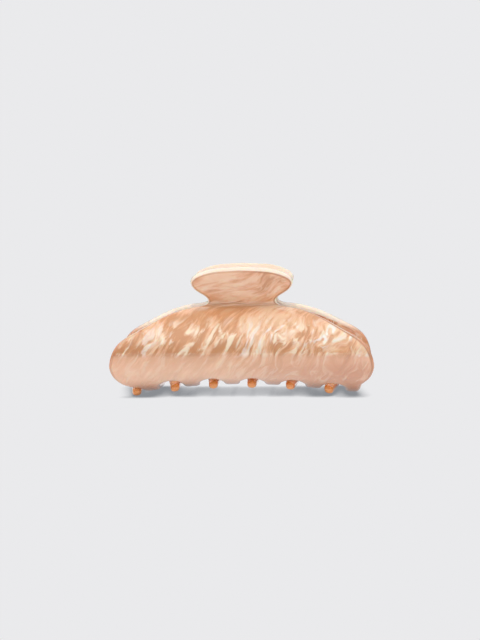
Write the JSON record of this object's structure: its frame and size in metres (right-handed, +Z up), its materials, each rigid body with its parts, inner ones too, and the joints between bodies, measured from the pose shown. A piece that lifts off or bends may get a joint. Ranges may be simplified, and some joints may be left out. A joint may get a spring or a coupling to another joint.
{
  "type": "claw hair clip",
  "caption": "Acetate claw hair clip: interlocking toothed jaws of bent sheet on a sprung steel hinge, opened by squeezing the thumb plates.",
  "frame": {"origin": "centre of the clip's footprint, on the surface that the end teeth stand on", "axes": "+X along the clip and the hinge pin, -Y out of the front jaw, +Z up to the thumb plates"},
  "size_m": [0.0992, 0.044, 0.0487],
  "materials": {
    "pearl_acetate": "polished peach acetate with pearl swirls",
    "ear_acetate": "sawn and lightly polished peach acetate",
    "steel": "bright drawn steel wire"
  },
  "bodies": {
    "front": {"front_jaw": "pearl_acetate", "front_ear_left": "ear_acetate", "front_ear_right": "ear_acetate", "hinge_pin": "steel", "torsion_spring": "steel"},
    "rear": {"rear_jaw": "pearl_acetate", "rear_ear_left": "ear_acetate", "rear_ear_right": "ear_acetate"}
  },
  "joints": [
    {"name": "jaw_hinge", "type": "hinge", "parent": "front", "child": "rear", "pos_m": [0, 0, 0.0338], "axis": [1, 0, 0], "range_deg": [0, 62], "stiffness_Nm_per_rad": 0.1, "springref_deg": -45.84, "deforming": ["torsion_spring"]}
  ]
}
